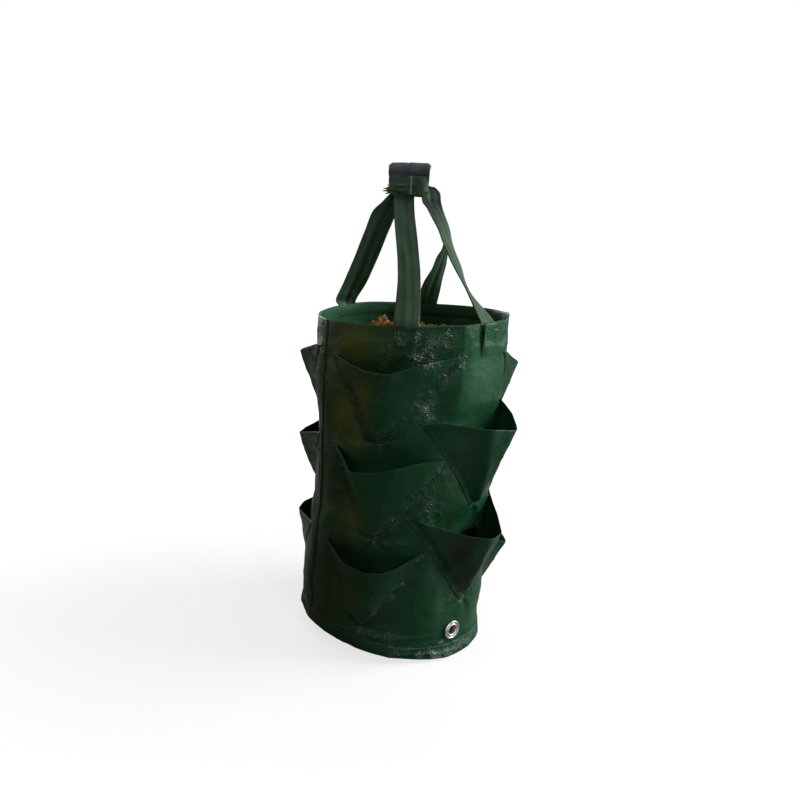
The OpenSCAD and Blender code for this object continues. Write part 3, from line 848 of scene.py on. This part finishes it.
def pocket(key, seed):
    """A pocket flap with its margins sewn flat on the wall beside the V."""
    p = POCKETS[key]
    v = np.linspace(0, 1, 64)
    lines = pocket_lines(p, v)
    left = sewn_margin(p, lines[:, 0], v, -1)
    right = sewn_margin(p, lines[:, -1], v, 1)
    points = np.concatenate([left, pocket_grid(p, lines, v, seed), right], axis=1)
    step = np.linalg.norm(np.diff(points, axis=1), axis=-1)
    across = np.concatenate([np.zeros((len(points), 1)), np.cumsum(step, axis=1)], axis=1)
    across = across - across.mean(axis=1, keepdims=True)
    down = -np.linalg.norm(points - points[:1], axis=-1)
    uv = np.stack([across, down], axis=-1)
    obj = grid_mesh("pocket_flap_" + key, points, uv, thick=SHEET_T)
    finish_piece(obj, LEAF, nodes=["pocket_" + key])
    return points


# Sewing

def stitch_row(line, outward, pitch=0.0042, length=0.0030, thick=0.00033):
    """Centres and frames of stitches along a line of points, each lying along it."""
    run = run_along(line)
    at = np.arange(pitch / 2, run[-1], pitch)

    def follow(values, places):
        return np.stack([np.interp(places, run, values[:, k]) for k in range(3)], axis=1)

    along = unit(follow(line, at + MM) - follow(line, at - MM))
    side = unit(np.cross(follow(outward, at), along))
    frames = np.stack([along * length / 2, side * thick, np.cross(along, side) * thick], axis=1)
    return follow(line, at), frames


def stitch_shape():
    """A stitch: a spindle of five rings, round in section, dipping at both ends."""
    x = np.array([-1.0, -0.75, 0.0, 0.75, 1.0])[:, None]
    r = np.array([0.25, 0.9, 1.0, 0.9, 0.25])[:, None]
    dip = np.array([-1.6, -0.5, 0.3, -0.5, -1.6])[:, None]
    turn = np.arange(6) * math.pi / 3
    rings = np.stack([x + 0 * turn, r * np.cos(turn), r * np.sin(turn) + dip], axis=-1)
    return rings.reshape(-1, 3), tube_faces(5, 6) + end_faces(5, 6)


def sewing(name, rows, material):
    """All the stitches of some rows as one piece."""
    shape, faces = stitch_shape()
    centres, frames = (np.concatenate(part) for part in zip(*rows))
    obj = copies(name, shape, faces, centres, frames)
    return finish_piece(obj, material)


def row_on_wall(az, z, out, *sizes):
    """Row of stitches that stands out from the wall by a distance, or lies inside it."""
    line = wall_point(az, z, out)
    return stitch_row(line, outward_at(line) * math.copysign(1, out), *sizes)


def all_sewing(pocket_points):
    """Double rows beside each pocket's V, and single rows round the rim, down the side
    seam and over the bottom seam."""
    # Left rows of each V take the darker thread and right rows a paler copy: painted shade on the left,
    # painted light on the right.
    columns = {"left": ((0, 1), (2, 2)), "right": ((-1, -2), (-3, -3))}
    for (name, pairs), colour in zip(columns.items(), (DARK_THREAD, LIT_THREAD)):
        rows = []
        for points in pocket_points.values():
            for one, other in pairs:
                line = (points[:, one] + points[:, other]) / 2
                out = outward_at(line)
                rows.append(stitch_row(line + out * 0.0005, out, thick=0.00027))
        sewing("pocket_stitching_" + name, rows, colour)
    az = np.linspace(0, 359.9, 900)
    z = np.linspace(0.03, BAG_H - 0.002, 300)
    rows = [
        row_on_wall(az, BAG_H - 0.6 * HEM_H + 0 * az, -0.0019, 0.0050, 0.0036),
        row_on_wall(az, base_lift(az) + 0.0105, 0.0005, 0.0050, 0.0036, 0.00024),
        row_on_wall(SEAM_AZ - 2.2 + 0 * z, z, 0.0010, 0.0042, 0.0030, 0.0002),
        row_on_wall(SEAM_AZ + 2.2 + 0 * z, z, 0.0010, 0.0042, 0.0030, 0.0002)]
    sewing("bag_stitching", rows, DARK_THREAD)


# Straps and the gathered loop

def from_loop(x, y, z):
    """Point in the loop's frame, x along the bar to the right and y away."""
    a = math.radians(LOOP_TURN)
    right = x * math.cos(a) - y * math.sin(a)
    away = x * math.sin(a) + y * math.cos(a)
    return np.stack([right, away, z + 0 * x], axis=-1)


def smooth_path(marks, count):
    """Points along a smooth curve through marks: cubic pieces whose slope at a mark is
    half the step between its neighbours."""
    marks = np.asarray(marks, dtype=float)
    ends = np.concatenate([[2 * marks[0] - marks[1]], marks, [2 * marks[-1] - marks[-2]]])
    t = np.linspace(0, len(marks) - 1, count)
    k = np.minimum(t.astype(int), len(marks) - 2)
    s = (t - k)[:, None]
    p0, p1, p2, p3 = (ends[k + i] for i in range(4))
    return 0.5 * (2 * p1 + (p2 - p0) * s + (2 * p0 - 5 * p1 + 4 * p2 - p3) * s ** 2
        + (3 * p1 - p0 - 3 * p2 + p3) * s ** 3)


def ribbon(name, marks, seed):
    """A strap along marks of x, y, z, half width and the direction of its width, in the
    loop's frame: turned in level planes, cupped across and rippled along its edges. Gives
    the piece and its length."""
    x, y, z, half, turn = smooth_path(marks, 90).T
    a = np.radians(turn + LOOP_TURN)
    wide = np.stack([np.cos(a), np.sin(a), 0 * a], axis=-1)
    centre = from_loop(x * MM, y * MM, z * MM)
    face = unit(np.cross(wide, unit(np.gradient(centre, axis=0))))
    s, t = np.meshgrid(np.linspace(-1, 1, 21), np.linspace(0, 1, 90))
    crown = 1 - s ** 2
    cup = 0.9 * MM * crown * np.sin(t * 6 + seed) + 0.5 * MM * cloud(s * 0.4 + 0.3, t, 4, 9, seed)
    cup = cup + 0.4 * MM * crown * np.sin(s * 8 + seed + np.sin(t * 5))
    edge = 0.5 * MM * np.abs(s) ** 3 * np.sin(t * 31 + seed * 2 + s)
    across = wide[:, None] * (half * MM)[:, None, None] * s[..., None]
    points = centre[:, None] + across + face[:, None] * (cup + edge)[..., None]
    length = run_along(centre)
    uv = np.stack([s * STRAP_W / 2, length[:, None] + 0 * s], axis=-1)
    return grid_mesh(name, points, uv, thick=STRAP_T, offset=0.0), float(length[-1])


# Marks of the four legs: x, y, z, half width in millimetres and the turn of the width.
LEGS = {
    "front": [
        (-19, -3.5, 470, 10.4, 4), (-18, -12, 457, 10.4, 4), (-14, -31, 434, 10.7, 0),
        (-9.6, -49, 411, 10.8, -4), (-6.8, -67, 390, 11.1, -4), (-5.9, -84, 369, 11.7, -4),
        (-6, -98.5, 352.5, 12.2, -3.5), (-6.1, -100.3, 346, 12.2, -3.5)],
    "right": [
        (0, -1, 480, 7, 16), (4.5, -1, 478, 9, 18), (8, -1.5, 473.5, 10.2, 20),
        (9.6, -4, 464, 10.6, 28), (14.3, -8, 456, 10.3, 42), (22.3, -16, 441, 11.2, 58),
        (28.6, -26, 425, 11.7, 64), (38.3, -36, 406, 12, 74), (48.0, -45, 387, 12.2, 82),
        (59.4, -54, 371, 12.2, 76), (72.3, -63.5, 354, 12.2, 54), (76.6, -65, 346, 12.2, 50)],
    "back": [
        (8, 4, 470, 8, 10), (15, 12, 456, 9, 45), (23, 24, 443, 10, 72), (29.2, 35, 430, 10.5, 76),
        (29.4, 44, 419, 10.6, 68), (26.6, 52, 407, 10.6, 58), (23.3, 64, 393, 11.6, 48),
        (18.7, 79, 376, 12, 30), (15.4, 94, 358, 12, 8), (13.8, 100.1, 346, 12, -8)],
    "left": [
        (-25, 3, 470, 8.5, 6), (-30.6, 5.5, 461, 10.8, 6), (-38.8, 12, 450, 12.4, 8),
        (-46.2, 22, 430, 12.5, 10), (-55.4, 35, 404, 12.6, 12), (-66.3, 48, 376, 12.6, 16),
        (-76.6, 60.5, 354, 12.4, 28), (-76.7, 64.4, 346, 12, 50)],
}


def strap_leg(key, marks, seed):
    """A free leg, flattened towards the rim."""
    obj, length = ribbon("strap_leg_" + key, marks, seed)
    finish_piece(obj, STRAP, nodes=["strap_" + key])
    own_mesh(obj)


def strap_end(key, az, seed):
    """The end of a strap, sewn flat on the wall by two long rows and a cross row. Its foot
    and its edges sink in, but the right one has a free edge at the top."""
    t, s = np.meshgrid(np.linspace(-1, 1, 13), np.linspace(0, 1, 18))
    half = math.degrees(STRAP_W / 2 / BAG_R)
    z = BAG_H - 0.001 - STRAP_END_H * s
    free_edge = 2.2 * MM * ease(-t * 4 - 2.6) * (1 - ease(s * 4 - 1.6)) * (key == "right")
    sunk = np.maximum(ease((s - 0.78) * 5), 0.75 * ease((np.abs(t) - 0.8) * 6) * (free_edge == 0))
    out = 0.0010 + free_edge + 0.25 * MM * np.sin(s * 9 + seed) * (1 - t * t) - 0.0017 * sunk
    end = strip_on_wall("strap_end_sewn_" + key, az + half * t, z, out, "strap_end_" + key,
        thick=0.0008)
    inset = 0.72
    down = np.linspace(BAG_H - 0.004, BAG_H - inset * STRAP_END_H, 40)
    over = az + half * np.linspace(-inset, inset, 30)
    rows = [
        row_on_wall(az + half * inset + 0 * down, down, 0.0011, *STRAP_STITCH),
        row_on_wall(az - half * inset + 0 * down, down, 0.0011, *STRAP_STITCH),
        row_on_wall(over, BAG_H - 0.45 * STRAP_END_H + 0 * over, 0.0011, *STRAP_STITCH)]
    sewing("strap_end_stitches_" + key, rows, DARK_THREAD)


def straps():
    """The four legs and their sewn ends."""
    for seed, (key, marks) in enumerate(LEGS.items()):
        strap_leg(key, marks, seed)
        strap_end(key, STRAP_ENDS[key], seed)


def fold_over(key, x0, x1, seed):
    """A strap folded over the bar: its section runs up the front, round the eye and down
    the back, and it is carried along the bar with a soft crumple."""
    stem = 0.0039
    bottom = GATHER_Z + 0.0006
    ring = EYE_R + FOLD_T / 2 + (0.0001 if x0 < -0.01 else 0.0004)
    turn = np.radians(np.linspace(-38, 218, 44))
    arc = np.stack([ring * np.cos(turn), EYE_Z + ring * np.sin(turn)], axis=1)
    up = np.linspace(0, 1, 16)[:-1]
    shift = arc[0] - [stem, bottom]
    rise = np.stack([stem + shift[0] * ease(up * 1.2 - 0.2), bottom + shift[1] * up], axis=1)
    section = np.concatenate([rise, arc, rise[::-1] * [-1, 1]])
    x, k = np.meshgrid(np.linspace(x0, x1, 22), np.arange(len(section)))
    y, z = section[k].transpose(2, 0, 1)
    away = np.stack([y, z - EYE_Z], axis=-1)
    away /= np.linalg.norm(away, axis=-1, keepdims=True) + 1e-9
    soft = 0.35 * MM * np.clip(cloud(k / len(section), (x - x0) / (x1 - x0), 9, 4, seed), 0, 1)
    y = y + away[..., 0] * soft
    z = z + away[..., 1] * soft
    x = x * (1 - 0.10 * ease((EYE_Z - 0.004 - z) / 0.010))
    free_end = ease((np.abs(x) - 0.0165) / 0.0042)
    z = z + (0.045 * x - 2.4 * MM * free_end ** 2) * ease((z - EYE_Z) / 0.006)
    run = run_along(section)
    uv = np.stack([x, run[k]], axis=-1)
    obj = grid_mesh("handle_fold_over_" + key, from_loop(x + LOOP_SHIFT, y, z), uv, thick=FOLD_T, offset=0.0)
    # Painted shade: the fold takes the dark copy of the strap, with a painted sheen.
    finish_piece(obj, SHADED_FOLD, "hanging_loop", ["handle_fold_" + key])


def slab_outline(half_w, half_d, s):
    """Closed outline of a slab with round ends, at a share s of its length round: a circle
    whose middle slides along the slab while it doesn't turn."""
    slide = 2 * (half_w - half_d)
    half_turn = math.pi * half_d
    marks = np.cumsum([0, slide, half_turn, slide, half_turn])
    walked = (s % 1) * marks[-1]
    middle = np.interp(walked, marks, np.array([-1, 1, 1, -1, -1]) * slide / 2)
    turn = np.interp(walked, marks, np.array([-1, -1, 1, 1, 3]) * math.pi / 2)
    return middle + half_d * np.cos(turn), half_d * np.sin(turn)


def tie_band():
    """Band wound once and a bit round the straps: narrow at the left, wide at the fold
    in front, its end turned under, with a painted highlight along that edge."""
    cols, rows = 150, 22
    s, t = np.meshgrid(np.linspace(-0.038, 1.142, cols), np.linspace(0, 1, rows))
    x, y = slab_outline(BAND_HALF_W, BAND_HALF_D, s)
    out_x, out_y = slab_outline(BAND_HALF_W + 0.002, BAND_HALF_D + 0.002, s)
    nx, ny = out_x - x, out_y - y
    far = np.hypot(nx, ny) + 1e-9
    lift = 0.0004 + 0.0011 * ease((s - 0.9) * 8)
    lift = lift + 0.6 * MM * cloud(s * 0.8, t, 11, 4, 21) + 0.7 * MM * creases(s * 0.8, t, 9, 3, 22)
    x = x + nx / far * lift
    y = y + ny / far * lift
    along = np.clip((x + BAND_HALF_W) / (2 * BAND_HALF_W), 0, 1)
    wider = ease(along * 1.5)
    in_front = y < 0
    top = np.where(in_front, 0.4805 + 0.0080 * wider, 0.4865)
    raised = 0.0050 * ease((along - 0.78) / 0.22)
    low = np.where(in_front, 0.4735 - 0.0045 * wider + raised, 0.4735)
    z = low + (top - low) * t
    points = from_loop(x + LOOP_SHIFT, y, z)
    uv = np.stack([s * 0.105, z], axis=-1)
    obj = grid_mesh("tie_band_wrap", points[:, ::-1], uv[:, ::-1], thick=0.0009, offset=0.0)
    finish_piece(obj, STRAP, "hanging_loop", ["tie_band"])
    # Painted highlight: the columns at the turned-under end take the pale edge material.
    obj.data.materials.append(EDGE_HIGHLIGHT)
    column = np.arange(len(obj.data.polygons)) % (cols - 1)
    obj.data.polygons.foreach_set("material_index", (column < 2).astype(np.int32))


def tie_tail():
    """Frayed end of the band: a short tab that splits into tapering, wavy strands."""
    # Each strand: its reach to the left, and its height at the start and the end.
    strands = [(-6.6, 478, 477.5), (-7.4, 476, 475.6), (-4.6, 474.8, 472.6), (-5.6, 477, 474.6),
        (-3.2, 479.5, 481.5)]
    t = np.linspace(0, 1, 12)[:, None]
    a = np.arange(6) * math.pi / 3
    r = 1.9 - 1.7 * t
    points = []
    faces = []
    for k, (reach, z0, z1) in enumerate(strands):
        x = -33.6 + 1.1 * reach * t
        y = -2.0 + 0.9 * k * (t - 0.3)
        z = z0 - 3.4 + (z1 - z0) * t + 0.5 * np.sin(t * 5 + k)
        tube = from_loop(x + 0 * a, y + r * np.cos(a) * 0.6, z + r * np.sin(a)) * MM
        points.append(tube.reshape(-1, 3))
        faces += tube_faces(12, 6, 72 * k) + end_faces(12, 6, 72 * k)
    obj = solid_mesh("tie_band_frayed_end", np.concatenate(points), faces)
    # Painted shade: the frayed end takes the dark copy of the strap.
    finish_piece(obj, SHADED_FOLD, "hanging_loop", ["tie_tail"])


# Growing medium

def fill_top(x, y):
    """Height of the medium: level, with a low heap and small uneven crumbs."""
    mid = around(np.array(HEAP_AZ), HEAP_OUT, 0.0)
    share = np.hypot(x - mid[0], y - mid[1]) / HEAP_R
    u, v = x / 0.2 + 0.5, y / 0.2 + 0.5
    crumbs = 1.8 * MM * cloud(u, v, 9, 9, 31) + 1.2 * MM * cloud(u, v, 24, 24, 32)
    return FILL_Z + HEAP_H * np.sqrt(np.clip(1 - share ** 2, 0, 1)) + crumbs


def medium():
    """Heaped surface of the fill with the column of it that shows through the slits and
    swells into the eyelets."""
    az, s = round_grid(160, np.linspace(0.004, 1, 60))
    top = around(az, FILL_R * s, 0 * az)
    top[..., 2] = fill_top(top[..., 0], top[..., 1])
    az, t = round_grid(160, np.linspace(0, 1, 90)[1:])
    z = (FILL_Z - 0.001) * (1 - t) + 0.004 * t
    rough = 0.8 * MM * cloud(az / 360, t, 40, 50, 34)
    low_round = 0.020 * np.clip((base_lift(az) + 0.020 - z) / 0.020, 0, 1) ** 2
    shrunk = 0.003 * ease((FILL_Z - 0.015 - z) / 0.02)
    swell = 0.0040 * sum(bump_at(eyelet_distance(az, z, spot_az), 0, 0.009) for spot_az in EYELET_AZ)
    side_r = FILL_SIDE_R + rough + swell - mouth_lean(az, z) - low_round - shrunk
    obj = grid_mesh("growing_medium_fill", np.concatenate([top, around(az, side_r, z)]), wrap=True)
    finish_piece(obj, COIR, nodes=["growing_medium"])


def rough_ball(rng):
    """Ball of four rings of eight points and two poles, each point nearer or further."""
    turn = np.linspace(0, 2 * math.pi, 9)[:-1]
    lat = np.radians([-60, -20, 20, 60])[:, None]
    level = np.cos(lat)
    rings = np.stack([level * np.cos(turn), level * np.sin(turn), np.sin(lat) + 0 * turn], axis=-1)
    ball = np.concatenate([rings.reshape(-1, 3), [[0, 0, -1], [0, 0, 1]]])
    ball = ball * (1 + 0.16 * rng.uniform(-1, 1, (len(ball), 1)))
    low_cap = [[(k + 1) % 8, k, 32] for k in range(8)]
    high_cap = [[24 + k, 24 + (k + 1) % 8, 33] for k in range(8)]
    return ball, tube_faces(4, 8) + low_cap + high_cap


def lumps():
    """Loose coir and bark: a rough ball in a few dozen faces, stretched and turned at
    random. The main lumps lie on a spiral of golden angles, as in the solids. Coarse lumps
    and small crumbs are scattered between them, and the last crumbs lie in the mounds,
    whose height is a bell over the distance from their middles."""
    rng = np.random.default_rng(8)
    ball, faces = rough_ball(rng)
    main = np.arange(1, LUMPS + 1)
    main_size = LUMP_R * (0.7 + 0.3 * np.sin(np.radians(main * 77)))
    main_r = 0.95 * (FILL_R + 0.001 - LUMP_R) * np.sqrt(main / LUMPS)
    size = np.concatenate([main_size, rng.uniform(0.0014, 0.0034, CRUMBS)])
    r = np.concatenate([main_r, 0.090 * np.sqrt(rng.uniform(0, 1, CRUMBS))])
    az = np.concatenate([main * 137.5, rng.uniform(0, 360, CRUMBS)])
    centres = around(az, r, 0 * az)
    sink = np.concatenate([-0.56 * main_size, 0.25 * size[LUMPS:]])
    centres[:, 2] = fill_top(centres[:, 0], centres[:, 1]) + sink
    coarse = slice(LUMPS, LUMPS + COARSE)
    size[coarse] = rng.uniform(0.0034, 0.0062, COARSE)
    centres[coarse, 2] += 0.15 * size[coarse]
    size[-PILED:] = rng.uniform(0.0018, 0.0036, PILED)
    mounds = np.array(MOUNDS)
    mound_az, high, half, _ = mounds[rng.choice(len(MOUNDS), PILED, p=mounds[:, 3])].T
    off = rng.normal(size=(PILED, 2))
    up = high * bump_at(np.hypot(*off.T), 0, 1.9) * rng.uniform(0.35, 1, PILED)
    pile_az = mound_az + np.degrees(off[:, 0] * half / MOUND_OUT)
    pile_r = np.minimum(MOUND_OUT + off[:, 1] * half, 0.091)
    centres[-PILED:] = around(pile_az, pile_r, 0.319 + up)
    count = LUMPS + CRUMBS
    frames, _ = np.linalg.qr(rng.normal(size=(count, 3, 3)))
    frames = frames * np.sign(np.linalg.det(frames))[:, None, None]
    loose = np.repeat([0.25, 1.0], [LUMPS, CRUMBS])
    stretch = 1 + loose[:, None] * rng.uniform([-0.1, -0.2, -0.4], [0.7, 0.1, 0.0], (count, 3))
    frames = frames * (stretch * size[:, None])[:, :, None]
    obj = copies("growing_medium_lumps", ball, faces, centres, frames)
    finish_piece(obj, COIR, nodes=["growing_medium"])


def metal_parts():
    """The eyelets and washers keep their own shapes."""
    for part in ("drain_eyelet_front", "drain_washer_front", "drain_eyelet_back", "drain_washer_back"):
        obj = bpy.data.objects[part]
        obj.data.materials.clear()
        obj.data.materials.append(METAL)


# Camera, lights and floor

def camera():
    """Camera of the photograph, in a frame turned to the view: its place, then yaw, pitch
    and roll in radians, and its focal length in pixels of an 800 pixel frame."""
    far, height = 0.804, 0.4437
    focal, yaw, pitch, roll = 764.0, -0.009, 0.230, 0.077
    level = math.cos(pitch)
    forward = np.array([math.sin(yaw) * level, math.cos(yaw) * level, -math.sin(pitch)])
    right = unit(np.cross(forward, [0, 0, 1.0]))
    up = np.cross(right, forward)
    rolled_right = math.cos(roll) * right + math.sin(roll) * up
    rolled_up = -math.sin(roll) * right + math.cos(roll) * up
    lens = bpy.data.cameras.new("camera")
    lens.sensor_width = 36.0
    lens.lens = focal / 800 * lens.sensor_width
    lens.clip_start = 0.05
    obj = new_object("camera", lens)
    rows = zip(rolled_right, rolled_up, -forward, (0, -far, height))
    obj.matrix_world = Matrix.Rotation(math.radians(VIEW_AZ), 4, "Z") @ Matrix([*rows, (0, 0, 0, 1)])
    bpy.context.scene.camera = obj


# Soft square lamps: name, direction from the camera's own, height, distance, size, power
# and colour.
LAMPS = [
    ("key", 98, 0.75, 1.2, 0.8, 25, (1.0, 0.99, 0.97)),
    ("front_spark", 26, 0.95, 1.6, 0.08, 4.9, (0.95, 0.97, 1.0)),
    ("warm_left", -78, 0.55, 1.4, 0.9, 3.4, (1.0, 0.62, 0.20)),
    ("rim_left", -142, 0.35, 1.0, 0.25, 0.8, (1, 1, 1)),
    ("top", 20, 1.7, 0.25, 0.7, 6, (1, 1, 1)),
    ("back_fill", 200, 0.75, 1.5, 0.9, 6, (1, 1, 1)),
]


def lamps():
    """All the lamps, aimed at the middle of the bag."""
    for name, az, height, far, size, power, colour in LAMPS:
        light = bpy.data.lights.new(name, "AREA")
        light.size = size
        light.energy = power
        light.color = colour
        place = Vector(around(np.array(az + VIEW_AZ), far, height))
        obj = new_object(name, light)
        obj.location = place
        obj.rotation_euler = (Vector((0, 0, 0.25)) - place).to_track_quat("-Z", "Y").to_euler()


def background():
    """Faint light from all round, that is full white to the camera and in reflections."""
    world = bpy.data.worlds.new("studio")
    bpy.context.scene.world = world
    n = Nodes(world, "Background")
    ray = n.add("ShaderNodeLightPath").outputs
    shiny = n.math("MAXIMUM", ray["Is Glossy Ray"], ray["Is Transmission Ray"])
    seen = n.math("MAXIMUM", ray["Is Camera Ray"], shiny)
    n.feed(n.shader.inputs["Strength"], n.span(seen, 0.03, 1.0))
    n.feed(n.shader.inputs["Color"], (1, 1, 1, 1))


def floor():
    """Wide pale floor under the bag."""
    half = 6.0
    corners = [(-half, -half, 0), (half, -half, 0), (half, half, 0), (-half, half, 0)]
    mesh = bpy.data.meshes.new("floor")
    mesh.from_pydata(corners, [], [(0, 1, 2, 3)])
    obj = new_object("floor", mesh)
    mesh.materials.append(pale_floor())


camera()
background()
floor()
lamps()
bag_wall()
base_sheet()
rim_hem()
side_seam()
bottom_binding()
all_sewing({key: pocket(key, 100 + 3 * k) for k, key in enumerate(POCKETS)})
straps()
fold_over("front", -0.0212, 0.0002, 41)
fold_over("back", -0.0002, 0.0202, 42)
tie_band()
tie_tail()
medium()
lumps()
metal_parts()

bpy.context.scene.view_settings.view_transform = "Standard"
bpy.context.view_layer.update()
